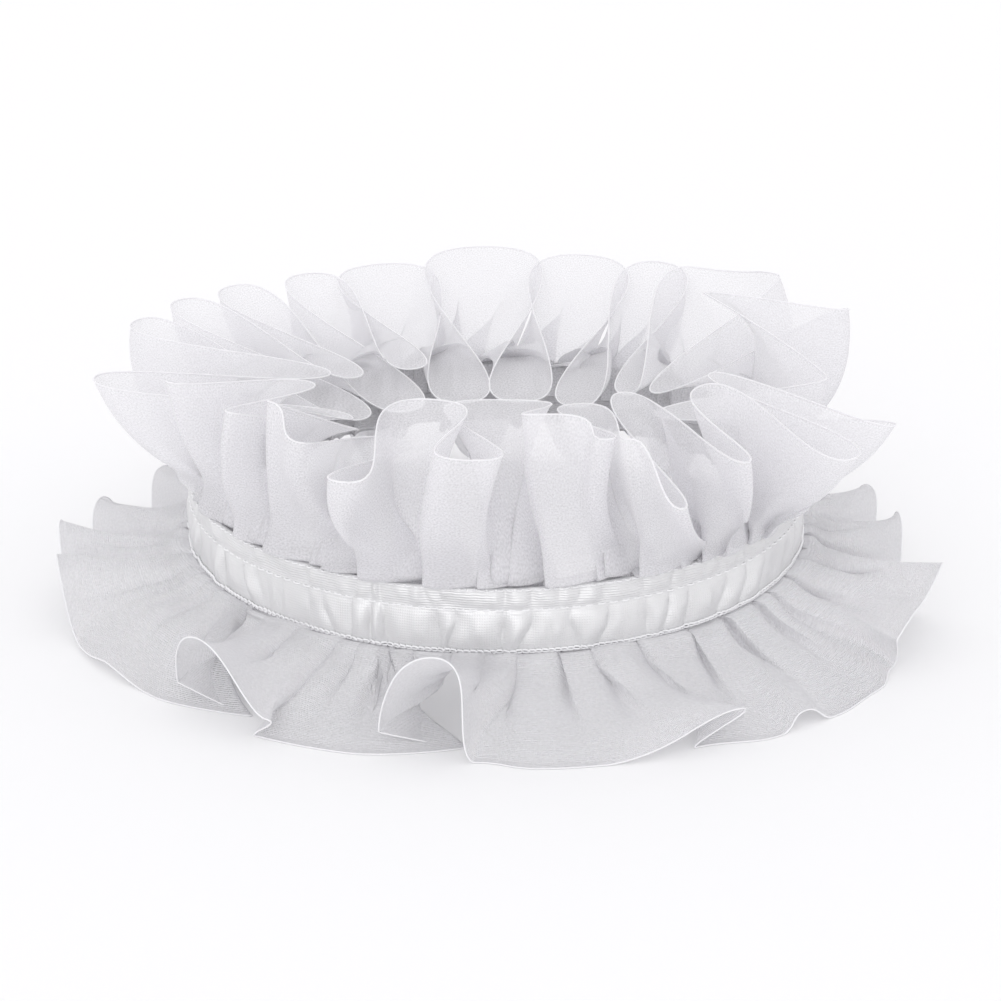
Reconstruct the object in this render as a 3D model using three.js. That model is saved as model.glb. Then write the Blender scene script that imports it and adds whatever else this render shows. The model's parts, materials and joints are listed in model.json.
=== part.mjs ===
// Detachable ruffled collar: a satin ribbon gathered into a neck ring, with a frill of sheer
// chiffon standing up above it and a second frill spreading out below it. The collar stands
// by itself on the lower frill.
//
// Units are millimetres, +Z is up and the surface the collar stands on is Z = 0. Azimuths are
// degrees seen from above, 0 towards +X, 90 towards +Y (the back of the neck) and 270 towards
// the front.

import * as THREE from 'three';

// Ring: half-inch ribbon drawn up to a neck of about 39 cm, lower at the front than at the back
const RING_RADIUS = 62;
const RING_X = 1.2;
const RING_Y = -1.3;
const RIBBON_WIDTH = 12.5;
const RIBBON_THICKNESS = 1.2;
const RIBBON_BOTTOM = 14.2;
const RIBBON_SLOPE = Math.tan(THREE.MathUtils.degToRad(3.5));
const RIBBON_COLUMNS = 90;

// Puckers of the ribbon: how far it stands out between two gathers, at each height up its
// face, and the waves that space the gathers unevenly
const PUCKER_DEPTH = 1.0;
const PUCKER_HEIGHTS = [{ height: 0.0, share: 0.1 }, { height: 0.35, share: 1.0 },
  { height: 0.65, share: 0.25 }, { height: 0.85, share: 0.4 }, { height: 1.0, share: 0.1 }];
const PUCKER_WAVES = [{ count: 29, phase: 0.4, share: 0.5 }, { count: 43, phase: 2.1, share: 0.3 },
  { count: 17, phase: 4.0, share: 0.2 }];

// Cloth of both frills, its tuck behind the ribbon and the clearances there
const CLOTH = 1.0;
const SEAM_GAP = 0.3;
const TUCK = RIBBON_WIDTH / 2 - 0.4;
const EDGE_CLEARANCE = 1.0;
const SEAM_RADIUS = RING_RADIUS - RIBBON_THICKNESS / 2 - SEAM_GAP - CLOTH / 2;

// Grid of a frill: how many columns each bend of the hem has, and how far out each row lies
const UPPER_COLUMNS_PER_BEND = 6;
const LOWER_COLUMNS_PER_BEND = 3;
const FRILL_ROWS = [0, 0.14, 0.38, 0.7, 1];

// Gathers at the ribbon, one to each bend, which fade out up the frill
const GATHER_DEPTH = 0.8;
const GATHER_END = 0.45;

// Share of the seam that cloth takes, which is least where its hem is inside the ring: the radius
// at which the share starts to grow, the run over which it does, and the share before that
const PINCH_RADIUS = 58;
const PINCH_RUN = 18;
const PINCHED = 0.12;

// Shape of a frill between the ribbon and the hem: the share by which an outer fold runs outward
// first and up or down afterwards, the share by which an inner fold arches up first, the run of
// hem radius inside the seam over which the one turns into the other, how far an inner fold
// rises halfway, how far the cloth puffs out beside the ribbon and where, and the power by which
// the folds lean sideways late
const BELLY = 0.4;
const ARCH = 0.8;
const ARCH_RUN = 15;
const RISE = 2;
const PUFF = 2.4;
const PUFF_AT = 0.05;
const SWING_POWER = 1.4;

// Hem of the upper frill, one row for each bend in the order in which the hem runs round.
// foot: azimuth at the ribbon below the bend; at, out and up: azimuth, radius and height of
// the hem there; span: half the width of the bend along the hem. The bends lie outside and
// inside the ring by turns.
const UPPER_BENDS = table(['foot', 'at', 'out', 'up', 'span'], [
  [170, 153, 87, 46, 20],
  [178, 173, 34, 44, 12],
  [190, 187, 80, 47, 15],
  [200, 203, 31, 40, 12],
  [206, 210, 71, 54, 7],
  [212, 213, 42, 50, 8],
  [217, 227, 71, 53, 5],
  [222, 224, 38, 42, 9],
  [227, 232, 66, 55, 6],
  [233, 240, 70, 50, 6],
  [237, 237, 33, 40, 12],
  [244, 251, 81, 48, 13],
  [251, 257, 52, 55, 19],
  [260, 267, 77, 52, 19],
  [269, 269, 41, 52, 26],
  [277, 277, 67, 57, 14],
  [282, 286, 71, 53, 7],
  [287, 288, 46, 52, 12],
  [292, 288, 75, 54, 5],
  [297, 291, 88, 45, 5],
  [303, 302, 43, 52, 9],
  [309, 301, 84, 50, 6],
  [315, 315, 54, 54, 14],
  [320, 318, 86, 46, 14],
  [325, 330, 47, 52, 9],
  [331, 340, 81, 43, 9],
  [341, 343, 33, 40, 12],
  [352, 355, 66, 46, 7],
  [364, 383, 47, 57, 9],
  [368, 384, 82, 50, 7],
  [376, 380, 34, 38, 11],
  [386, 404, 87, 51, 8],
  [398, 419, 88, 49, 18],
  [409, 397, 33, 35, 15],
  [420, 425, 89, 49, 23],
  [427, 417, 29, 31, 19],
  [435, 437, 90, 49, 32],
  [444, 441, 28, 31, 23],
  [453, 452, 92, 50, 38],
  [462, 464, 28, 31, 23],
  [470, 467, 91, 47, 33],
  [477, 478, 37, 37, 16],
  [484, 480, 89, 47, 22],
  [490, 490, 28, 31, 21],
  [497, 492, 89, 47, 21],
  [503, 502, 37, 38, 14],
  [510, 503, 88, 47, 18],
  [520, 514, 30, 32, 18],
]);

// Hem of the lower frill, the same way. Its bends lift off the surface and come back to it by
// turns. A span below zero is a stretch that doubles back, and a span of zero a sharp crease.
const LOWER_BENDS = table(['foot', 'at', 'out', 'up', 'span'], [
  [172, 165, 88, 11, 8],
  [180, 175, 85, 0, 6],
  [186, 182, 89, 15, 6],
  [191, 187, 88, 7, 4],
  [196, 192, 89, 13, 6],
  [203, 204, 88, 1, 8],
  [209, 213, 87, 2, 5],
  [214, 223, 86, 0, 6],
  [218, 236, 80, 0, -5],
  [226, 226, 84, 4, 0],
  [230, 232, 87, 16, 7],
  [238, 243, 89, 5, 4],
  [243, 241, 87, 0, 4],
  [248, 252, 87, 0, 9],
  [252, 266, 80, 0, -5],
  [260, 256, 85, 4, 0],
  [264, 263, 88, 20, 9],
  [269, 268, 87, 0, 6],
  [278, 280, 90, 0, 14],
  [288, 298, 90, 7, 8],
  [300, 294, 88, 0, 6],
  [304, 303, 91, 0, 5],
  [308, 308, 90, 3, 4],
  [312, 313, 91, 0, 5],
  [319, 321, 90, 0, 7],
  [324, 328, 88, 1, 4],
  [328, 326, 90, 8, 0],
  [334, 333, 90, 11, 5],
  [340, 342, 91, 15, 6],
  [346, 351, 84, 1, 6],
  [351, 358, 83, 0, 5],
  [356, 365, 84, 13, 7],
]);

// Back of the lower frill, plain folds between the two ends of the table
const BACK_FOLDS = 10;
const BACK_CREST = { out: 87, up: 11, span: 7 };
const BACK_FOOT = { out: 84, up: 0, span: 7 };

function table(columns, rows) {
  return rows.map((row) => Object.fromEntries(columns.map((name, i) => [name, row[i]])));
}

function polar(radius, azimuth, height) {
  const angle = THREE.MathUtils.degToRad(azimuth);
  return new THREE.Vector3(radius * Math.cos(angle), radius * Math.sin(angle), height);
}

// Height of the ribbon's lower edge, which rises from the front to the back
function ribbonBottom(azimuth) {
  return RIBBON_BOTTOM + RIBBON_SLOPE * polar(RING_RADIUS, azimuth, 0).y;
}

// Foot, crest, foot and so on across the gap of the lower table
function backBends(before, after) {
  const bends = [];
  const steps = 2 * BACK_FOLDS;
  for (let i = 1; i < steps; i++) {
    const bend = i % 2 ? BACK_FOOT : BACK_CREST;
    const foot = THREE.MathUtils.lerp(before.foot, after.foot + 360, i / steps);
    const at = THREE.MathUtils.lerp(before.at, after.at + 360, i / steps);
    bends.push({ ...bend, foot, at });
  }
  return bends;
}

// Length of seam that a short piece of hem takes
function seamTaken(from, to) {
  const outside = (Math.hypot(from.x, from.y) - PINCH_RADIUS) / PINCH_RUN;
  return from.distanceTo(to) * (PINCHED + THREE.MathUtils.clamp(outside, 0, 1));
}

// Points along a hem that passes through its bends square to their radii, each with the
// azimuth of its foot at the ribbon
function hemPoints(bends, columnsPerBend) {
  const points = [];
  for (let i = 0; i < bends.length; i++) {
    const a = bends[i];
    const last = i === bends.length - 1;
    const b = bends[(i + 1) % bends.length];
    const start = polar(a.out, a.at, a.up + CLOTH / 2);
    const end = polar(b.out, b.at, b.up + CLOTH / 2);
    const leave = start.clone().add(polar(a.span, a.at + 90, 0));
    const arrive = end.clone().sub(polar(b.span, b.at + 90, 0));
    const curve = new THREE.CubicBezierCurve3(start, leave, arrive, end).getPoints(columnsPerBend);
    const taken = [0];
    for (let k = 0; k < columnsPerBend; k++) {
      taken.push(taken[k] + seamTaken(curve[k], curve[k + 1]));
    }
    for (let k = 0; k < columnsPerBend; k++) {
      const share = taken[k] / taken[columnsPerBend];
      const foot = THREE.MathUtils.lerp(a.foot, b.foot + (last ? 360 : 0), share);
      points.push({ foot, position: curve[k] });
    }
  }
  return points;
}

// Middle surface of a frill: a tucked row behind the ribbon, then rows out to the hem.
// side is 1 above the ribbon and -1 below it.
function frillSurface(bends, columnsPerBend, side) {
  return hemPoints(bends, columnsPerBend).map(({ foot, position }, column) => {
    const bottom = ribbonBottom(foot);
    const edge = side > 0 ? bottom + RIBBON_WIDTH : bottom;
    const hemRadius = Math.hypot(position.x, position.y);
    const hemAzimuth = THREE.MathUtils.radToDeg(Math.atan2(position.y, position.x));
    const swing = THREE.MathUtils.euclideanModulo(hemAzimuth - foot + 180, 360) - 180;
    const inner = THREE.MathUtils.clamp((SEAM_RADIUS - hemRadius) / ARCH_RUN, 0, 1);
    const gather = Math.cos(2 * Math.PI * column / columnsPerBend);
    const strip = FRILL_ROWS.map((share) => {
      const bow = THREE.MathUtils.lerp(BELLY, -ARCH, inner) * share * (1 - share);
      const puff = PUFF * share / PUFF_AT * Math.exp(1 - share / PUFF_AT);
      const fade = Math.sin(Math.PI * Math.min(share / GATHER_END, 1));
      const proud = puff + GATHER_DEPTH * gather * fade;
      const radius = THREE.MathUtils.lerp(SEAM_RADIUS, hemRadius, share + bow) + proud;
      const rise = 4 * RISE * inner * share * (1 - share);
      const start = edge + side * EDGE_CLEARANCE;
      const height = THREE.MathUtils.lerp(start, position.z, share - bow) + rise;
      return polar(radius, foot + swing * share ** SWING_POWER, height);
    });
    return [polar(SEAM_RADIUS, foot, edge - side * TUCK), ...strip];
  });
}

// Unit normals of a surface whose last strip joins its first
function surfaceNormals(strips) {
  const count = strips.length;
  return strips.map((strip, i) => strip.map((_, j) => {
    const next = strips[(i + 1) % count][j];
    const previous = strips[(i + count - 1) % count][j];
    const above = strip[Math.min(j + 1, strip.length - 1)];
    const below = strip[Math.max(j - 1, 0)];
    const along = next.clone().sub(previous);
    const up = above.clone().sub(below);
    return along.cross(up).normalize();
  }));
}

// Closed ring from outlines placed round it, each with the same number of points. Every
// four-sided cell is split along its shorter diagonal, so that both faces of a thin wall agree.
function closedRing(outlines) {
  const points = outlines.flat();
  const size = outlines[0].length;
  const indices = [];
  for (let i = 0; i < outlines.length; i++) {
    for (let j = 0; j < size; j++) {
      const a = i * size + j;
      const b = i * size + (j + 1) % size;
      const c = ((i + 1) % outlines.length) * size + (j + 1) % size;
      const d = ((i + 1) % outlines.length) * size + j;
      if (points[a].distanceTo(points[c]) < points[b].distanceTo(points[d])) {
        indices.push(a, d, c, a, c, b);
      } else {
        indices.push(a, d, b, b, d, c);
      }
    }
  }
  const positions = points.flatMap((point) => [point.x, point.y, Math.max(point.z, 0)]);
  const geometry = new THREE.BufferGeometry();
  geometry.setAttribute('position', new THREE.Float32BufferAttribute(positions, 3));
  geometry.setIndex(indices);
  geometry.computeVertexNormals();
  return geometry;
}

// Wall of cloth around a middle surface
function clothWall(strips) {
  const normals = surfaceNormals(strips);
  const face = (i, offset) => strips[i].map((point, j) => (
    point.clone().addScaledVector(normals[i][j], offset)));
  return closedRing(strips.map((_, i) => (
    [...face(i, CLOTH / 2), ...face(i, -CLOTH / 2).reverse()])));
}

function ribbonPucker(azimuth) {
  const angle = THREE.MathUtils.degToRad(azimuth);
  return PUCKER_WAVES.reduce((sum, wave) => (
    sum + wave.share * (0.5 + 0.5 * Math.cos(wave.count * angle + wave.phase))), 0);
}

function ribbonBand() {
  const outlines = [];
  for (let i = 0; i < RIBBON_COLUMNS; i++) {
    const azimuth = i * 360 / RIBBON_COLUMNS;
    const bottom = ribbonBottom(azimuth);
    const pucker = PUCKER_DEPTH * ribbonPucker(azimuth);
    const outer = PUCKER_HEIGHTS.map(({ height, share }) => polar(
      RING_RADIUS + RIBBON_THICKNESS / 2 + pucker * share, azimuth, bottom + height * RIBBON_WIDTH));
    const inner = [RIBBON_WIDTH, 0].map((height) => polar(
      RING_RADIUS - RIBBON_THICKNESS / 2, azimuth, bottom + height));
    outlines.push([...outer, ...inner]);
  }
  return closedRing(outlines);
}

const satin = new THREE.MeshStandardMaterial({ color: 0xf0f0f2, roughness: 0.35, metalness: 0 });
const chiffon = new THREE.MeshStandardMaterial({ color: 0xeceef3, roughness: 0.8, metalness: 0 });

function named(name, geometry, material) {
  const mesh = new THREE.Mesh(geometry, material);
  mesh.name = name;
  return mesh;
}

const lowerBends = [...LOWER_BENDS, ...backBends(LOWER_BENDS.at(-1), LOWER_BENDS[0])];
const upperStrips = frillSurface(UPPER_BENDS, UPPER_COLUMNS_PER_BEND, 1);
const lowerStrips = frillSurface(lowerBends, LOWER_COLUMNS_PER_BEND, -1);

const group = new THREE.Group();
group.add(named('ribbon_band', ribbonBand(), satin));
group.add(named('upper_frill', clothWall(upperStrips), chiffon));
group.add(named('lower_frill', clothWall(lowerStrips), chiffon));
group.position.set(RING_X, RING_Y, 0);

export default group;
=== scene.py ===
import json
import math

import bpy
import numpy as np
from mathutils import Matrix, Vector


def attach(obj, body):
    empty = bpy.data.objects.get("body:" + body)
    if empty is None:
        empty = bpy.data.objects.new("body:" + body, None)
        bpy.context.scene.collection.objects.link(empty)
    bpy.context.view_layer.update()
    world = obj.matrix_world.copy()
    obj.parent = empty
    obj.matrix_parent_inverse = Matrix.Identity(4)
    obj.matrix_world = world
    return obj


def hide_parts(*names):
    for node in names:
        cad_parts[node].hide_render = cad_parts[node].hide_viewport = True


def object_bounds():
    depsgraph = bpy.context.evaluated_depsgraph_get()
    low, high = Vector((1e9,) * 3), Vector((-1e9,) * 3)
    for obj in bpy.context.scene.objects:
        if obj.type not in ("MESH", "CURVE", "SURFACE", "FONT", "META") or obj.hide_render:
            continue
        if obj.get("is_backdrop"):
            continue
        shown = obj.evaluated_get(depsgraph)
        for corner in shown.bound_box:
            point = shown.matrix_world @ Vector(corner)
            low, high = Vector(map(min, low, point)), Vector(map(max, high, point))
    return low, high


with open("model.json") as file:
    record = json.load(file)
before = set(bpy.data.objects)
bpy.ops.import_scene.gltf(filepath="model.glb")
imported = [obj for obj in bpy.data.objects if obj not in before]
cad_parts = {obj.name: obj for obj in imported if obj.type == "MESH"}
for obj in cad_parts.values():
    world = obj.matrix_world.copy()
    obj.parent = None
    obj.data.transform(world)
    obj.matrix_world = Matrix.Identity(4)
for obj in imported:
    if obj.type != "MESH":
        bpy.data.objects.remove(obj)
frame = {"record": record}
solid_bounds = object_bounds()


# Upper frill: a strip of sheer crepe chiffon with a narrow rolled hem. Its raw edge is drawn up
# to less than a fifth of its length and sewn behind the ribbon, so that the strip stands up
# round the neck in deep round folds.

# Lengths are in millimetres, from the axis of the neck ring and up from the surface, and
# azimuths in degrees seen from above, 0 to the right, 90 to the back and 270 to the front
MM = 0.001
ring_x, ring_y, _ = frame["record"]["mounts"][0]["pos_m"]

# Ribbon that the cloth is sewn to, and how the cloth is tucked behind it
RIBBON_RADIUS = 62.0
RIBBON_WIDTH = 12.5
RIBBON_BOTTOM = 14.2
RIBBON_SLOPE = math.tan(math.radians(3.5))
SEAM_RADIUS = 60.8
TUCK = 5.8
EDGE_CLEARANCE = 1.0

# Width and length that the strip is cut to, in metres, the grid that it is modelled on, the
# length of cloth in a gather, how deep it billows, and the seed of its uneven folds
UPPER_CUT = (0.038, 2.1)
UPPER_COLUMNS = 2000
UPPER_ROWS = 32
UPPER_GATHER = 24
UPPER_BILLOW = 0.6
UPPER_SEED = 11

# Folds of the upper hem: azimuth at the ribbon, then azimuth, radius and height of the bend,
# and half its width along the hem
UPPER_BENDS = [
    # foot, at, out, up, span
    (170, 153, 87, 46, 20),
    (178, 173, 34, 44, 12),
    (190, 187, 80, 47, 15),
    (200, 203, 31, 40, 12),
    (206, 210, 71, 54, 7),
    (212, 213, 42, 50, 8),
    (217, 227, 71, 53, 5),
    (222, 224, 38, 42, 9),
    (227, 232, 66, 55, 6),
    (233, 240, 70, 50, 6),
    (237, 237, 33, 40, 12),
    (244, 251, 81, 48, 13),
    (251, 257, 52, 55, 19),
    (260, 267, 77, 52, 19),
    (269, 269, 41, 52, 26),
    (277, 277, 67, 57, 14),
    (282, 286, 71, 53, 7),
    (287, 288, 46, 52, 12),
    (292, 288, 75, 54, 5),
    (297, 291, 88, 45, 5),
    (303, 302, 43, 52, 9),
    (309, 301, 84, 50, 6),
    (315, 315, 54, 54, 14),
    (320, 318, 86, 46, 14),
    (325, 330, 47, 52, 9),
    (331, 340, 81, 43, 9),
    (341, 343, 33, 40, 12),
    (352, 355, 66, 46, 7),
    (364, 383, 47, 57, 9),
    (368, 384, 82, 50, 7),
    (376, 380, 34, 38, 11),
    (386, 404, 87, 51, 8),
    (398, 419, 88, 49, 18),
    (409, 397, 33, 35, 15),
    (420, 425, 89, 49, 23),
    (427, 417, 29, 31, 19),
    (435, 437, 90, 49, 32),
    (444, 441, 28, 31, 23),
    (453, 452, 92, 50, 38),
    (462, 464, 28, 31, 23),
    (470, 467, 91, 47, 33),
    (477, 478, 37, 37, 16),
    (484, 480, 89, 47, 22),
    (490, 490, 28, 31, 21),
    (497, 492, 89, 47, 21),
    (503, 502, 37, 38, 14),
    (510, 503, 88, 47, 18),
    (520, 514, 30, 32, 18),
]


def around(radius, azimuth, height):
    """Points at a radius, an azimuth and a height. The last axis of the answer is x, y and z."""
    angle = np.radians(azimuth)
    x, y, z = np.broadcast_arrays(radius * np.cos(angle), radius * np.sin(angle), height)
    return np.stack([x, y, z], axis=-1)


def ribbon_bottom(azimuth):
    """Height of the ribbon's lower edge, which rises from the front to the back."""
    return RIBBON_BOTTOM + RIBBON_SLOPE * RIBBON_RADIUS * np.sin(np.radians(azimuth))


# Hem inside the ring takes less of the seam than hem outside it: the radius at which its share
# starts to grow, the run over which it does, and the share before that
PINCH_RADIUS = 58
PINCH_RUN = 18
PINCHED = 0.12

# Points of a hem's curve from one bend to the next
CURVE_STEPS = 40


def hem_line(bends, columns):
    """Evenly spaced points of a hem that passes through its bends square to their radii: the
    azimuth of each point's foot at the ribbon, the points, how far along the hem each lies, and
    the hem's length."""
    foot, at, out, up, span = np.array(bends, float).T
    bend = around(out, at, up)
    reach = span[:, None] * around(1, at + 90, 0)
    next_bend = np.roll(bend, -1, axis=0)
    next_reach = np.roll(reach, -1, axis=0)
    t = (np.arange(CURVE_STEPS) / CURVE_STEPS)[:, None, None]
    curve = ((1 - t) ** 3 * bend + 3 * (1 - t) ** 2 * t * (bend + reach)
             + 3 * (1 - t) * t ** 2 * (next_bend - next_reach) + t ** 3 * next_bend)
    curve = curve.transpose(1, 0, 2)

    # Seam taken from one bend to the next, shared out over the points between them
    ahead = np.concatenate([curve[:, 1:], next_bend[:, None]], axis=1)
    step = np.linalg.norm(ahead - curve, axis=2)
    outside = np.clip((np.hypot(curve[..., 0], curve[..., 1]) - PINCH_RADIUS) / PINCH_RUN, 0, 1)
    seam = np.cumsum(step * (PINCHED + outside), axis=1)
    seam = np.concatenate([0 * seam[:, :1], seam[:, :-1]], axis=1) / seam[:, -1:]
    next_foot = np.append(foot[1:], foot[0] + 360)
    feet = (foot[:, None] + (next_foot - foot)[:, None] * seam).ravel()

    # Columns of cloth at even steps round the closed hem
    curve = curve.reshape(-1, 3)
    curve = np.vstack([curve, curve[:1]])
    feet = np.append(feet, feet[0] + 360)
    along = np.append(0, np.cumsum(np.linalg.norm(np.diff(curve, axis=0), axis=1)))
    length = along[-1]
    even = np.arange(columns) * length / columns
    hem = np.stack([np.interp(even, along, curve[:, k]) for k in range(3)], axis=-1)
    return np.interp(even, along, feet), hem, even, length


def soft_noise(seed, across, down, cells_across, cells_down):
    """Smooth random relief between -1 and 1. across runs from 0 to 1 once round the ring and
    meets itself, and down runs from 0 to 1 from one edge of the cloth to the other."""
    lattice = np.random.default_rng(seed).uniform(-1, 1, (cells_across, cells_down + 2))
    x = np.asarray(across) * cells_across
    y = np.clip(np.asarray(down), 0, 1) * cells_down
    left = np.floor(x).astype(int)
    low = np.floor(y).astype(int)
    ease = lambda part: part * part * (3 - 2 * part)
    x_ease = ease(x - left)
    y_ease = ease(y - low)
    corner = lambda i, j: lattice[(left + i) % cells_across, low + j]
    near = corner(0, 0) * (1 - x_ease) + corner(1, 0) * x_ease
    far = corner(0, 1) * (1 - x_ease) + corner(1, 1) * x_ease
    return near * (1 - y_ease) + far * y_ease


def facing(points):
    """Unit normals of a grid whose last column joins its first."""
    along = np.roll(points, -1, axis=0) - np.roll(points, 1, axis=0)
    up = np.gradient(points, axis=1)
    normal = np.cross(along, up)
    return normal / np.maximum(np.linalg.norm(normal, axis=-1, keepdims=True), 1e-9)


def evened(values, reach):
    """Running mean round the ring, over so many columns to each side."""
    wrapped = np.concatenate([values[-reach - 1:], values, values[:reach]])
    total = np.cumsum(wrapped, axis=0)
    return (total[2 * reach + 1:] - total[:-2 * reach - 1]) / (2 * reach + 1)


# Narrowest and widest gather against each other, the share of the ribbon that the flat panels
# cover, and the length of cloth over which a panel turns into its pleat
GATHER_WIDTHS = (0.6, 1.5)
PANEL_SHARE = 0.95
SOFT_TURN = 1.5


def laid_gathers(along, length, gather, lean, seed):
    """How far along the ring and how far into it each column of cloth lies where the cloth is
    sewn, because the length that the ring doesn't need is laid in gathers. Each gather shows a
    flat panel on the outside, and behind it a pleat that leans under the next panel."""
    widths = np.random.default_rng(seed).uniform(*GATHER_WIDTHS, int(length / gather))
    starts = np.append(0, np.cumsum(widths)) * length / widths.sum()
    number = np.searchsorted(starts, along, side="right") - 1
    size = np.diff(starts)[number]
    place = (along - starts[number]) / size
    drawn = 2 * math.pi * SEAM_RADIUS / length
    panel = PANEL_SHARE * drawn
    across = (drawn - panel) / (1 - panel)
    half = (1 - panel) / 2
    shift = np.where(place < panel, place, drawn + (place - 1) * across) - drawn * place
    depth = np.sqrt(1 - across ** 2) * np.clip(half - np.abs(place - panel - half), 0, None)
    reach = round(SOFT_TURN * len(along) / length)
    shift = evened(evened(shift * size, reach), reach)
    depth = evened(evened(depth * size, reach), reach)
    return (shift + depth * math.sin(lean))[:, None], (depth * math.cos(lean))[:, None]


# Creases near the ribbon: how wide one is along the cloth, how deep, and the share of the frill
# over which it deepens and fades out again, from CREASE_START behind the ribbon's edge
CREASES = [
    # width, depth, run
    (13, 0.35, 0.5),
    (6, 0.12, 0.3),
]
CREASE_START = 0.08

# Billows of the free cloth: how wide one is along the cloth, how far they lean by the hem, in
# turns round the ring, and the power that brings their deepest place nearer to the ribbon
BILLOW_WIDTH = 24
BILLOW_LEAN = 0.004
BILLOW_CALM = 0.8


def crease_relief(turn, share, length, billow, seed):
    """How far the cloth stands out of its main folds, at a share of a turn round the ring and a
    share of the way from the ribbon to the hem."""
    relief = 0
    for number, (width, depth, run) in enumerate(CREASES):
        fade = np.sin(np.pi * np.clip((share + CREASE_START) / run, 0, 1))
        crease = soft_noise(seed + number, turn, share, int(length / width), 2) * fade
        relief = relief + depth * crease
    calm = np.sin(np.pi * np.clip(share, 0, 1) ** BILLOW_CALM)
    wave = soft_noise(seed + len(CREASES), turn + BILLOW_LEAN * share, share,
                      int(length / BILLOW_WIDTH), 2)
    return relief + billow * wave * calm


# Way of the cloth from the ribbon to the hem. An outer fold bows outward by the share BELLY, and
# an inner one upward by the share ARCH and the height RISE. ARCH_RUN is the run of hem radius
# inside the seam over which the one turns into the other.
BELLY = 0.4
ARCH = 0.8
ARCH_RUN = 15
RISE = 2

# Roll of cloth over the ribbon's edge: how far it puffs out and droops, and where
PUFF = 2.4
DROOP = 1.5
ROLL_AT = 0.05

# Powers that crowd the rows at the ribbon and let the folds swing sideways late
FOOT_CROWDING = 1.35
SWING_POWER = 1.4

# Rows of points behind the ribbon, which end at this share of the clearance past its edge
TUCK_ROWS = 4
TUCK_END = 0.3

# Pleats of the gathers: the share of the cloth over which they open, how far they lean sideways
# on each frill, how far they fall where the cloth spreads, and the share by which they have
GATHER_REACH = 0.5
UPPER_LEAN = math.radians(62)
LOWER_LEAN = math.radians(35)
PLEAT_FALL = math.radians(70)
FALL_RUN = 0.15

# Height at which the lowest cloth lies, so that its rolled hem just clears the surface
ON_SURFACE = 0.2


def frill_cloth(bends, columns, rows, side, gather, billow, seed):
    """Points of a frill in columns from its raw edge behind the ribbon out to its hem, how far
    along the strip each lies, and at what share of its width the grain there lies. side is 1
    above the ribbon and -1 below it."""
    foot, hem, along, length = hem_line(bends, columns)
    share = (np.linspace(0, 1, rows) ** FOOT_CROWDING)[None, :]
    feet = foot[:, None]
    edge = ribbon_bottom(feet) + (RIBBON_WIDTH if side > 0 else 0)
    lean = UPPER_LEAN if side > 0 else LOWER_LEAN
    beside, inside = laid_gathers(along, length, gather, lean, seed)

    # Main folds of the free cloth
    hem_radius = np.hypot(hem[:, :1], hem[:, 1:2])
    hem_azimuth = np.degrees(np.arctan2(hem[:, 1:2], hem[:, :1]))
    swing = (hem_azimuth - feet + 180) % 360 - 180
    inner = np.clip((SEAM_RADIUS - hem_radius) / ARCH_RUN, 0, 1)
    bow = (BELLY * (1 - inner) - ARCH * inner) * share * (1 - share)
    roll = share / ROLL_AT * np.exp(1 - share / ROLL_AT)
    radius = SEAM_RADIUS + (hem_radius - SEAM_RADIUS) * (share + bow) + PUFF * roll
    start = edge + side * EDGE_CLEARANCE
    rise = 4 * RISE * inner * share * (1 - share)
    height = start + (hem[:, 2:] - start) * (share - bow) + rise - side * DROOP * roll

    # Pleats, which go into the ring where the cloth stands, and down where it spreads
    kept = np.exp(-(share / GATHER_REACH) ** 2)
    azimuth = feet + swing * share ** SWING_POWER + np.degrees(beside / SEAM_RADIUS) * kept
    fall = 0 if side > 0 else PLEAT_FALL * np.clip(share / FALL_RUN, 0, 1)
    pleat = inside * kept
    free = around(radius - pleat * np.cos(fall), azimuth, height - pleat * np.sin(fall))

    # Cloth behind the ribbon
    tuck = np.linspace(-TUCK, TUCK_END * EDGE_CLEARANCE, TUCK_ROWS)[None, :]
    tucked = around(SEAM_RADIUS - inside, feet + np.degrees(beside / SEAM_RADIUS), edge + side * tuck)
    points = np.concatenate([tucked, free], axis=1)

    free_share = np.concatenate([0 * tuck, share], axis=1) + 0 * feet
    turn = (along / length)[:, None] + 0 * free_share
    relief = crease_relief(turn, free_share, length, billow, seed)
    points = points + facing(points) * relief[..., None]
    points[..., 2] = np.maximum(points[..., 2], ON_SURFACE)

    # Grain down the cloth. Behind the ribbon it runs downward on both frills, in shares of the
    # upper one's width.
    grain = np.concatenate([-side * tuck / (UPPER_CUT[0] / MM), share], axis=1) + 0 * turn
    return points, turn * length, grain


def ring_faces(columns, rows, closed=False):
    """Four-sided faces over a grid whose last column joins its first. closed joins the last row
    to the first too."""
    column = np.arange(columns)[:, None]
    row = np.arange(rows if closed else rows - 1)[None, :]
    beside = (column + 1) % columns * rows
    above = (row + 1) % rows
    column = column * rows
    return np.stack([column + row, beside + row, beside + above, column + above], -1).reshape(-1, 4)


def sewn_piece(name, points, faces, finish, weave=None):
    """A piece of the collar from points in millimetres, placed on the neck ring. weave holds
    where each point lies on the flat cloth, in millimetres."""
    placed = points.reshape(-1, 3) * MM + np.array([ring_x, ring_y, 0])
    mesh = bpy.data.meshes.new(name)
    mesh.from_pydata(placed.tolist(), [], [tuple(face) for face in faces])
    mesh.polygons.foreach_set("use_smooth", [True] * len(mesh.polygons))
    if weave is not None:
        corners = np.zeros(len(mesh.loops), int)
        mesh.loops.foreach_get("vertex_index", corners)
        layer = mesh.uv_layers.new(name="cloth")
        layer.data.foreach_set("uv", weave.reshape(-1, 2)[corners].ravel())
    mesh.materials.append(finish)
    mesh.update()
    piece = bpy.data.objects.new(name, mesh)
    bpy.context.scene.collection.objects.link(piece)
    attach(piece, "root")
    return piece


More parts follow.
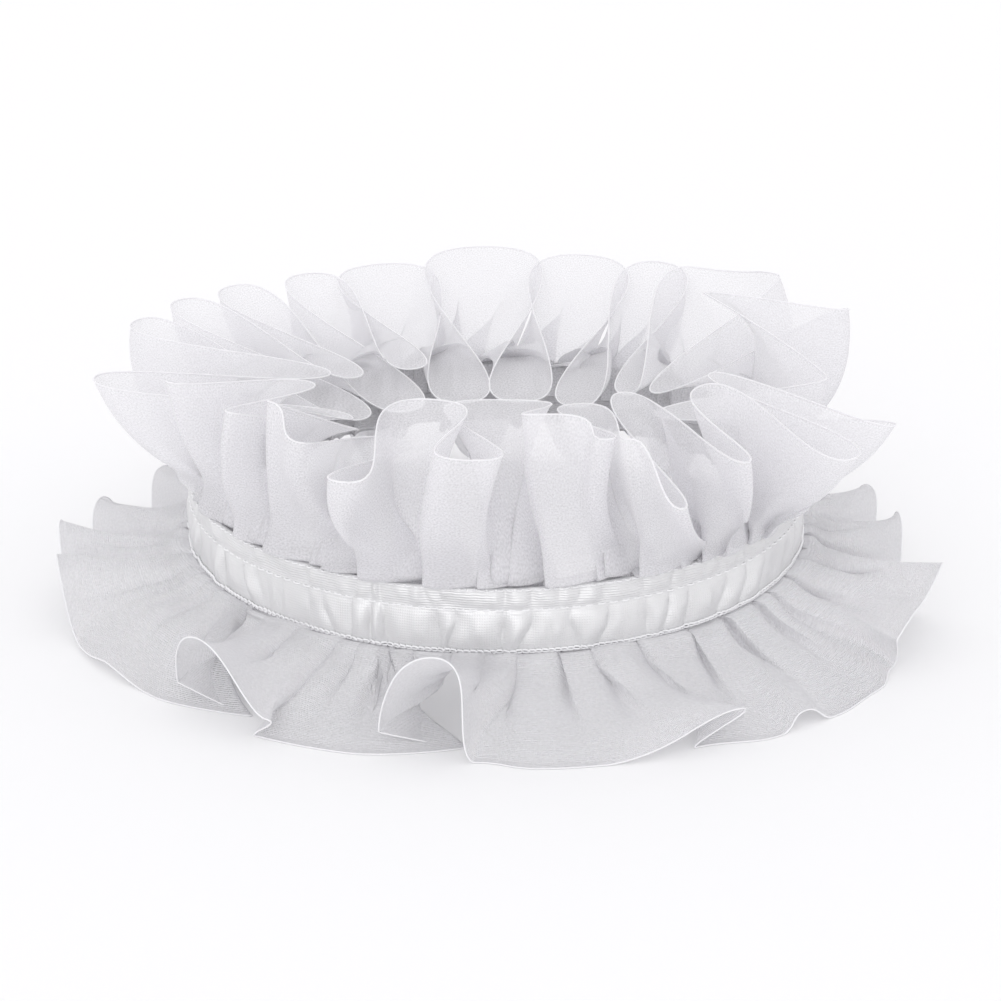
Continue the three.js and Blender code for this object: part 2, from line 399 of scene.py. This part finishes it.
# Openness of the weave where the crepe is thinnest and thickest, against its mean
THIN_CREPE = 1.6
THICK_CREPE = 0.4


def chiffon_finish(name, body_colour, lit_colour, let_through, see_through, grain_size, grain_depth):
    """Crepe chiffon: threads that scatter light, threads that let it through, and the gaps
    between them."""
    finish = bpy.data.materials.new(name)
    finish.use_nodes = True
    tree = finish.node_tree
    tree.nodes.clear()
    node = tree.nodes.new
    link = tree.links.new
    cloth = node("ShaderNodeUVMap")
    cloth.uv_map = "cloth"
    crepe = node("ShaderNodeTexNoise")
    crepe.inputs["Scale"].default_value = 1 / grain_size
    crepe.inputs["Detail"].default_value = 3
    link(cloth.outputs["UV"], crepe.inputs["Vector"])
    thread = node("ShaderNodeTexWave")
    thread.bands_direction = "Y"
    thread.inputs["Scale"].default_value = 0.6
    thread.inputs["Distortion"].default_value = 2.5
    thread.inputs["Detail"].default_value = 2
    link(cloth.outputs["UV"], thread.inputs["Vector"])
    relief = node("ShaderNodeMix")
    relief.inputs["Factor"].default_value = 0.3
    link(crepe.outputs["Fac"], relief.inputs["A"])
    link(thread.outputs["Fac"], relief.inputs["B"])
    grain = node("ShaderNodeBump")
    grain.inputs["Distance"].default_value = grain_depth * MM
    link(relief.outputs["Result"], grain.inputs["Height"])
    scatter = node("ShaderNodeBsdfPrincipled")
    scatter.inputs["Base Color"].default_value = body_colour
    scatter.inputs["Roughness"].default_value = 0.7
    scatter.inputs["Specular IOR Level"].default_value = 0.25
    scatter.inputs["Sheen Weight"].default_value = 0.25
    scatter.inputs["Sheen Roughness"].default_value = 0.5
    link(grain.outputs["Normal"], scatter.inputs["Normal"])
    glow = node("ShaderNodeBsdfTranslucent")
    glow.inputs["Color"].default_value = lit_colour
    link(grain.outputs["Normal"], glow.inputs["Normal"])
    threads = node("ShaderNodeMixShader")
    threads.inputs["Fac"].default_value = let_through
    link(scatter.outputs["BSDF"], threads.inputs[1])
    link(glow.outputs["BSDF"], threads.inputs[2])
    gap = node("ShaderNodeBsdfTransparent")
    openness = node("ShaderNodeMapRange")
    openness.inputs["From Min"].default_value = 0.3
    openness.inputs["From Max"].default_value = 0.7
    openness.inputs["To Min"].default_value = see_through * THIN_CREPE
    openness.inputs["To Max"].default_value = see_through * THICK_CREPE
    link(crepe.outputs["Fac"], openness.inputs["Value"])
    weave = node("ShaderNodeMixShader")
    link(openness.outputs["Result"], weave.inputs["Fac"])
    link(threads.outputs["Shader"], weave.inputs[1])
    link(gap.outputs["BSDF"], weave.inputs[2])
    output = node("ShaderNodeOutputMaterial")
    link(weave.outputs["Shader"], output.inputs["Surface"])
    return finish


# Rolled hem: the cloth turned over on itself, which makes it brighter and nearly opaque
HEM_RADIUS = 0.16
HEM_SIDES = 6
hem_roll = chiffon_finish("rolled chiffon hem", body_colour=(0.96, 0.955, 0.97, 1),
                          lit_colour=(0.96, 0.955, 0.97, 1), let_through=0.1, see_through=0.02,
                          grain_size=0.4, grain_depth=0.04)


def rolled_hem(points):
    """Tube of rolled cloth along the free edge of a frill."""
    edge = points[:, -1]
    along = np.roll(edge, -1, axis=0) - np.roll(edge, 1, axis=0)
    along /= np.linalg.norm(along, axis=1, keepdims=True)
    inward = points[:, -2] - edge
    normal = np.cross(along, inward)
    normal /= np.linalg.norm(normal, axis=1, keepdims=True)
    inward = np.cross(normal, along)
    turn = (np.arange(HEM_SIDES) * 2 * math.pi / HEM_SIDES)[None, :, None]
    ring = np.cos(turn) * inward[:, None] - np.sin(turn) * normal[:, None]
    return edge[:, None] + HEM_RADIUS * ring


def frill(name, bends, columns, rows, side, gather, billow, seed, cut, chiffon):
    """One frill's cloth and its rolled hem."""
    points, along, grain = frill_cloth(bends, columns, rows, side, gather, billow, seed)
    weave = np.stack([along, grain * cut[0] / MM], axis=-1)
    cloth = sewn_piece(name + "_cloth", points, ring_faces(columns, points.shape[1]),
                       chiffon, weave)
    roll = rolled_hem(points)
    roll_weave = np.stack([along[:, :1] + 0 * roll[..., 0], roll[..., 2]], axis=-1)
    hem = sewn_piece(name + "_hem", roll, ring_faces(columns, HEM_SIDES, closed=True),
                     hem_roll, roll_weave)
    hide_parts(name)


sheer_chiffon = chiffon_finish("sheer crepe chiffon", body_colour=(0.88, 0.876, 0.89, 1),
                               lit_colour=(0.9, 0.894, 0.912, 1), let_through=0.36,
                               see_through=0.25, grain_size=0.4, grain_depth=0.04)
frill("upper_frill", UPPER_BENDS, UPPER_COLUMNS, UPPER_ROWS, side=1, gather=UPPER_GATHER,
      billow=UPPER_BILLOW, seed=UPPER_SEED, cut=UPPER_CUT, chiffon=sheer_chiffon)


# Lower frill: a narrower strip of the same chiffon, drawn up to two fifths of its length and
# sewn behind the ribbon's lower edge. It spreads out over the surface that the collar stands on
# and carries the whole of it.
LOWER_CUT = (0.034, 0.95)
LOWER_COLUMNS = 1400
LOWER_ROWS = 28
LOWER_GATHER = 15
LOWER_BILLOW = 2.0
LOWER_SEED = 31

# Folds of the lower hem, which lifts off the surface and comes back to it by turns. A span below
# zero is a stretch that doubles back, and a span of zero a sharp crease.
LOWER_BENDS = [
    # foot, at, out, up, span
    (172, 165, 88, 11, 8),
    (180, 175, 85, 0, 6),
    (186, 182, 89, 15, 6),
    (191, 187, 88, 7, 4),
    (196, 192, 89, 13, 6),
    (203, 204, 88, 1, 8),
    (209, 213, 87, 2, 5),
    (214, 223, 86, 0, 6),
    (218, 236, 80, 0, -5),
    (226, 226, 84, 4, 0),
    (230, 232, 87, 16, 7),
    (238, 243, 89, 5, 4),
    (243, 241, 87, 0, 4),
    (248, 252, 87, 0, 9),
    (252, 266, 80, 0, -5),
    (260, 256, 85, 4, 0),
    (264, 263, 88, 20, 9),
    (269, 268, 87, 0, 6),
    (278, 280, 90, 0, 14),
    (288, 298, 90, 7, 8),
    (300, 294, 88, 0, 6),
    (304, 303, 91, 0, 5),
    (308, 308, 90, 3, 4),
    (312, 313, 91, 0, 5),
    (319, 321, 90, 0, 7),
    (324, 328, 88, 1, 4),
    (328, 326, 90, 8, 0),
    (334, 333, 90, 11, 5),
    (340, 342, 91, 15, 6),
    (346, 351, 84, 1, 6),
    (351, 358, 83, 0, 5),
    (356, 365, 84, 13, 7),
]

# Plain folds over the back: their number, and how far out and up and how wide each bend is
BACK_FOLDS = 10
BACK_CREST = (87, 11, 7)
BACK_FOOT = (84, 0, 7)


def with_back(bends):
    """The bends, and plain folds over the back from their last to their first."""
    last_foot, last_at = bends[-1][:2]
    first_foot, first_at = bends[0][:2]
    back = []
    for i in range(1, 2 * BACK_FOLDS):
        part = i / (2 * BACK_FOLDS)
        foot = last_foot + (first_foot + 360 - last_foot) * part
        at = last_at + (first_at + 360 - last_at) * part
        back.append((foot, at) + (BACK_FOOT if i % 2 else BACK_CREST))
    return bends + back


# The same chiffon as the upper frill. Its colours, a little lighter than the upper frill's, are
# painted light that sets the lower frill's tone where the light falls on it.
lower_chiffon_painted_light = chiffon_finish("lower crepe chiffon with painted light", body_colour=(0.9, 0.896, 0.91, 1),
                               lit_colour=(0.92, 0.914, 0.932, 1), let_through=0.36,
                               see_through=0.07, grain_size=0.75, grain_depth=0.36)
frill("lower_frill", with_back(LOWER_BENDS), LOWER_COLUMNS, LOWER_ROWS, side=-1,
      gather=LOWER_GATHER, billow=LOWER_BILLOW, seed=LOWER_SEED, cut=LOWER_CUT,
      chiffon=lower_chiffon_painted_light)


# Neck ribbon: half-inch ribbon of woven polyester satin, laid over the raw edges of both frills.
# Three rows of elastic thread run through it and draw it up, so it puckers between them.

# The length of ribbon to each length of ring in its weave, its thickness, the grid that it is
# modelled on, and the seed of its puckers
RIBBON_FULLNESS = 1.3
RIBBON_THICKNESS = 0.5
RIBBON_COLUMNS = 1500
RIBBON_FACE_ROWS = 30
RIBBON_SEED = 5

# Puckers: their number, the depth of the deepest, the narrowest and widest against each other,
# the least and most swollen, how many degrees they lean, and in how many random cells round
# and across the ribbon
PUCKERS = 68
PUCKER_DEPTH = 1.8
PUCKER_WIDTHS = (0.35, 2.0)
PUCKER_SWELL = (0.15, 1.0)
PUCKER_LEAN = 2.4
LEAN_CELLS = (60, 2)

# Middle row of stitches, as a share of the width from the lower edge, the powers that fill the
# puckers out round the ribbon, below the row and above it, and the depth above it against below
MIDDLE_ROW = 0.66
PUCKER_FILL = 0.75
LOW_FILL = 0.6
HIGH_FILL = 0.8
HIGH_SHARE = 0.45

# Fine wrinkles below the middle row and crinkles above it, against the depth of the puckers, and
# their random cells round and across the ribbon
WRINKLES = 0.15
CRINKLES = 0.5
WRINKLE_CELLS = (240, 3)


def pucker_relief(azimuth, share):
    """How far the ribbon stands out at an azimuth and a share of its width from its lower edge."""
    rng = np.random.default_rng(RIBBON_SEED)
    widths = rng.uniform(*PUCKER_WIDTHS, PUCKERS)
    creases = np.append(0, np.cumsum(widths)) * 360 / widths.sum()
    swell = rng.uniform(*PUCKER_SWELL, PUCKERS)
    lean = soft_noise(RIBBON_SEED + 1, azimuth / 360, share, *LEAN_CELLS)
    leaning = (azimuth + PUCKER_LEAN * lean) % 360
    count = np.interp(leaning, creases, np.arange(PUCKERS + 1))
    number = np.floor(count).astype(int) % PUCKERS
    place = count - np.floor(count)
    hump = np.sin(np.pi * place) ** PUCKER_FILL
    low = np.clip(share / MIDDLE_ROW, 0, 1)
    high = np.clip((share - MIDDLE_ROW) / (1 - MIDDLE_ROW), 0, 1)
    face = np.sin(np.pi * low) ** LOW_FILL + HIGH_SHARE * np.sin(np.pi * high) ** HIGH_FILL
    wrinkle = soft_noise(RIBBON_SEED + 2, azimuth / 360, share, *WRINKLE_CELLS)
    creased = np.where(share > MIDDLE_ROW, CRINKLES, WRINKLES)
    return PUCKER_DEPTH * face * (hump * swell[number] + creased * wrinkle)


def ribbon_face(azimuth, share):
    """Points on the outer face of the ribbon."""
    relief = pucker_relief(azimuth, share)
    return around(RIBBON_RADIUS + relief, azimuth, ribbon_bottom(azimuth) + share * RIBBON_WIDTH)


# Change from smooth satin to the drawn-up ribs above the middle row, in shares of the width
RIBS_START = MIDDLE_ROW - 0.06
RIBS_FULL = MIDDLE_ROW + 0.02


def satin_finish():
    """Polyester satin: long smooth floats that shine, over a fine weave."""
    finish = bpy.data.materials.new("ribbon satin")
    finish.use_nodes = True
    tree = finish.node_tree
    node = tree.nodes.new
    link = tree.links.new
    satin = tree.nodes["Principled BSDF"]
    cloth = node("ShaderNodeUVMap")
    cloth.uv_map = "cloth"
    rib = node("ShaderNodeTexWave")
    rib.bands_direction = "Y"
    rib.inputs["Scale"].default_value = 0.65
    rib.inputs["Distortion"].default_value = 1.6
    rib.inputs["Detail"].default_value = 1
    link(cloth.outputs["UV"], rib.inputs["Vector"])
    slub = node("ShaderNodeTexNoise")
    slub.inputs["Scale"].default_value = 1.2
    link(cloth.outputs["UV"], slub.inputs["Vector"])
    place = node("ShaderNodeSeparateXYZ")
    link(cloth.outputs["UV"], place.inputs["Vector"])
    drawn_up = node("ShaderNodeMapRange")
    drawn_up.inputs["From Min"].default_value = RIBS_START * RIBBON_WIDTH
    drawn_up.inputs["From Max"].default_value = RIBS_FULL * RIBBON_WIDTH
    link(place.outputs["Y"], drawn_up.inputs["Value"])
    warp = node("ShaderNodeTexWave")
    warp.bands_direction = "X"
    warp.inputs["Scale"].default_value = 0.55
    warp.inputs["Distortion"].default_value = 0.4
    link(cloth.outputs["UV"], warp.inputs["Vector"])
    floats = node("ShaderNodeMath")
    floats.operation = "MULTIPLY"
    link(rib.outputs["Fac"], floats.inputs[0])
    link(warp.outputs["Fac"], floats.inputs[1])
    smooth = node("ShaderNodeMath")
    smooth.operation = "MULTIPLY"
    smooth.inputs[1].default_value = 0.85
    link(floats.outputs["Value"], smooth.inputs[0])
    ribs = node("ShaderNodeMix")
    link(drawn_up.outputs["Result"], ribs.inputs["Factor"])
    link(smooth.outputs["Value"], ribs.inputs["A"])
    link(rib.outputs["Fac"], ribs.inputs["B"])
    relief = node("ShaderNodeMix")
    relief.inputs["Factor"].default_value = 0.15
    link(ribs.outputs["Result"], relief.inputs["A"])
    link(slub.outputs["Fac"], relief.inputs["B"])
    grain = node("ShaderNodeBump")
    grain.inputs["Strength"].default_value = 0.7
    grain.inputs["Distance"].default_value = 0.1 * MM
    link(relief.outputs["Result"], grain.inputs["Height"])
    link(grain.outputs["Normal"], satin.inputs["Normal"])
    gloss = node("ShaderNodeMapRange")
    gloss.inputs["To Min"].default_value = 0.26
    gloss.inputs["To Max"].default_value = 0.42
    link(slub.outputs["Fac"], gloss.inputs["Value"])
    link(gloss.outputs["Result"], satin.inputs["Roughness"])
    satin.inputs["Base Color"].default_value = (0.77, 0.77, 0.774, 1)
    satin.inputs["Metallic"].default_value = 0.3
    satin.inputs["Specular IOR Level"].default_value = 1.0
    satin.inputs["Sheen Weight"].default_value = 0.1
    return finish


azimuths = (np.arange(RIBBON_COLUMNS) * 360 / RIBBON_COLUMNS)[:, None]
outer_share = np.linspace(0, 1, RIBBON_FACE_ROWS)[None, :]
inner_share = outer_share[:, ::-1]
outer_face = ribbon_face(azimuths + 0 * outer_share, outer_share + 0 * azimuths)
inner_face = around(RIBBON_RADIUS - RIBBON_THICKNESS, azimuths,
                    ribbon_bottom(azimuths) + inner_share * RIBBON_WIDTH)
ribbon_along = np.radians(azimuths) * RIBBON_RADIUS * RIBBON_FULLNESS
ribbon_across = np.concatenate([outer_share, inner_share], axis=1) * RIBBON_WIDTH
ribbon = sewn_piece("neck_ribbon", np.concatenate([outer_face, inner_face], axis=1),
                    ring_faces(RIBBON_COLUMNS, 2 * RIBBON_FACE_ROWS, closed=True),
                    satin_finish(),
                    np.stack(np.broadcast_arrays(ribbon_along, ribbon_across), axis=-1))
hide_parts("ribbon_band")


# Stitches: white thread sewn through the ribbon and both frills. A chain stitch runs along the
# lower edge, and plain stitches run a third of the way down and along the top edge. They hold
# the ribbon gathered.
STITCH_ROWS = [
    # name, share of the ribbon's width, number, length, thickness, chain
    ("lower_edge_chain", 0.03, 330, 1.15, 0.42, True),
    ("middle_stitches", MIDDLE_ROW, 165, 1.7, 0.32, False),
    ("top_edge_stitches", 0.97, 230, 1.2, 0.32, False),
]
STITCH_STEPS = 7
THREAD_SIDES = 6

# Loop of a chain stitch: half its length against the stitch's, half its width against the
# ribbon's, and how proud it stands and how much more at one end, in thicknesses of thread
LOOP_REACH = 0.58
LOOP_WIDTH = 0.026
LOOP_PROUD = 0.7
LOOP_CLIMB = 0.3

# Plain stitch: how high it arches and how deep its ends go in, in thicknesses of thread
STITCH_ARCH = 1.3
STITCH_SUNK = 0.4


def stitch_path(middle, height, length, thickness, chain):
    """Points along one stitch, and which way is outward at each. A chain stitch is a closed
    loop, and a plain one dips into the ribbon at both ends."""
    degrees = math.degrees(length / RIBBON_RADIUS)
    steps = np.linspace(0, 1, STITCH_STEPS)
    if chain:
        turn = steps[:-1] * 2 * math.pi
        azimuth = middle + LOOP_REACH * degrees * np.cos(turn)
        share = height + LOOP_WIDTH * np.sin(turn)
        proud = thickness * (LOOP_PROUD + LOOP_CLIMB * np.cos(turn))
    else:
        azimuth = middle + degrees * (steps - 0.5)
        share = height + 0 * steps
        proud = thickness * (STITCH_ARCH * np.sin(np.pi * steps) - STITCH_SUNK)
    outward = around(1, azimuth, 0)
    return ribbon_face(azimuth, share) + outward * proud[:, None], outward


def thread_rings(path, outward, thickness, chain):
    """Rings of points round one stitch."""
    if chain:
        along = np.roll(path, -1, axis=0) - np.roll(path, 1, axis=0)
    else:
        along = np.gradient(path, axis=0)
    along /= np.linalg.norm(along, axis=1, keepdims=True)
    side = np.cross(along, outward)
    side /= np.linalg.norm(side, axis=1, keepdims=True)
    out = np.cross(side, along)
    turn = (np.arange(THREAD_SIDES) * 2 * math.pi / THREAD_SIDES)[None, :, None]
    ring = np.cos(turn) * side[:, None] + np.sin(turn) * out[:, None]
    return path[:, None] + 0.5 * thickness * ring


def thread_faces(first, rings, chain):
    """Faces of one stitch whose points are numbered from the first. A plain one has two ends."""
    faces = []
    for k in range(rings if chain else rings - 1):
        here = first + k * THREAD_SIDES
        there = first + (k + 1) % rings * THREAD_SIDES
        for s in range(THREAD_SIDES):
            after = (s + 1) % THREAD_SIDES
            faces.append((here + s, here + after, there + after, there + s))
    if not chain:
        end = first + (rings - 1) * THREAD_SIDES
        faces.append(tuple(first + s for s in reversed(range(THREAD_SIDES))))
        faces.append(tuple(end + s for s in range(THREAD_SIDES)))
    return faces


def thread_finish():
    """Spun polyester thread, matt and a little fuzzy."""
    finish = bpy.data.materials.new("sewing thread")
    finish.use_nodes = True
    tree = finish.node_tree
    thread = tree.nodes["Principled BSDF"]
    thread.inputs["Base Color"].default_value = (0.93, 0.93, 0.94, 1)
    thread.inputs["Roughness"].default_value = 0.55
    thread.inputs["Sheen Weight"].default_value = 0.3
    place = tree.nodes.new("ShaderNodeTexCoord")
    fuzz = tree.nodes.new("ShaderNodeTexNoise")
    fuzz.inputs["Scale"].default_value = 6000
    tree.links.new(place.outputs["Object"], fuzz.inputs["Vector"])
    bump = tree.nodes.new("ShaderNodeBump")
    bump.inputs["Distance"].default_value = 0.03 * MM
    tree.links.new(fuzz.outputs["Fac"], bump.inputs["Height"])
    tree.links.new(bump.outputs["Normal"], thread.inputs["Normal"])
    return finish


white_thread = thread_finish()
for name, height, number, length, thickness, chain in STITCH_ROWS:
    rings = []
    faces = []
    for i in range(number):
        path, outward = stitch_path(i * 360 / number, height, length, thickness, chain)
        faces.extend(thread_faces(len(rings) * THREAD_SIDES, len(path), chain))
        rings.extend(thread_rings(path, outward, thickness, chain))
    sewn_piece(name, np.array(rings), faces, white_thread)


# Surface, light and view of the photograph: a pale surface, soft light from all round, a broad
# low light from the front and a little to the left, and a camera that looks down from the front.

# Half the width of the surface, in metres
FLOOR_REACH = 4.0
floor_mesh = bpy.data.meshes.new("pale_surface")
floor_mesh.from_pydata([(-FLOOR_REACH, -FLOOR_REACH, 0), (FLOOR_REACH, -FLOOR_REACH, 0),
                        (FLOOR_REACH, FLOOR_REACH, 0), (-FLOOR_REACH, FLOOR_REACH, 0)],
                       [], [(0, 1, 2, 3)])
floor = bpy.data.objects.new("pale_surface", floor_mesh)
bpy.context.scene.collection.objects.link(floor)
paper = bpy.data.materials.new("white paper")
paper.use_nodes = True
paper_surface = paper.node_tree.nodes["Principled BSDF"]
paper_surface.inputs["Base Color"].default_value = (0.95, 0.95, 0.95, 1)
paper_surface.inputs["Roughness"].default_value = 0.9
floor_mesh.materials.append(paper)
floor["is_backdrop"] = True

studio = bpy.data.worlds.new("studio")
studio.use_nodes = True
soft_light = studio.node_tree.nodes["Background"]
soft_light.inputs["Color"].default_value = (0.985, 0.98, 1.0, 1)
soft_light.inputs["Strength"].default_value = 1.0
bpy.context.scene.world = studio

# Low front light: its strength, its spread, and its angles above the surface and to the side
KEY_STRENGTH = 0.55
KEY_SPREAD = math.radians(45)
KEY_HEIGHT = math.radians(24)
KEY_SIDE = math.radians(-10)
key = bpy.data.lights.new("key_light", "SUN")
key.energy = KEY_STRENGTH
key.angle = KEY_SPREAD
key_lamp = bpy.data.objects.new("key_light", key)
key_lamp.rotation_euler = (math.pi / 2 - KEY_HEIGHT, 0, KEY_SIDE)
bpy.context.scene.collection.objects.link(key_lamp)

# Camera and the point that it looks at, and its focal length in pixels of the photograph
CAMERA_AT = (0.8, -472.8, 181.1)
CAMERA_AIM = (0.8, 0, 18.3)
PHOTO_WIDTH = 1001
FOCAL_PIXELS = 2445
lens = bpy.data.cameras.new("photo_camera")
lens.sensor_width = 36
lens.lens = FOCAL_PIXELS * lens.sensor_width / PHOTO_WIDTH
camera = bpy.data.objects.new("photo_camera", lens)
camera.location = (ring_x + CAMERA_AT[0] * MM, ring_y + CAMERA_AT[1] * MM, CAMERA_AT[2] * MM)
look_down = math.atan2(CAMERA_AT[2] - CAMERA_AIM[2], CAMERA_AIM[1] - CAMERA_AT[1])
camera.rotation_euler = (math.pi / 2 - look_down, 0, 0)
bpy.context.scene.collection.objects.link(camera)
bpy.context.scene.camera = camera
bpy.context.scene.view_settings.view_transform = "Standard"

({"cad": [list(corner) for corner in solid_bounds],
           "visual": [list(corner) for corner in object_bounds()]})
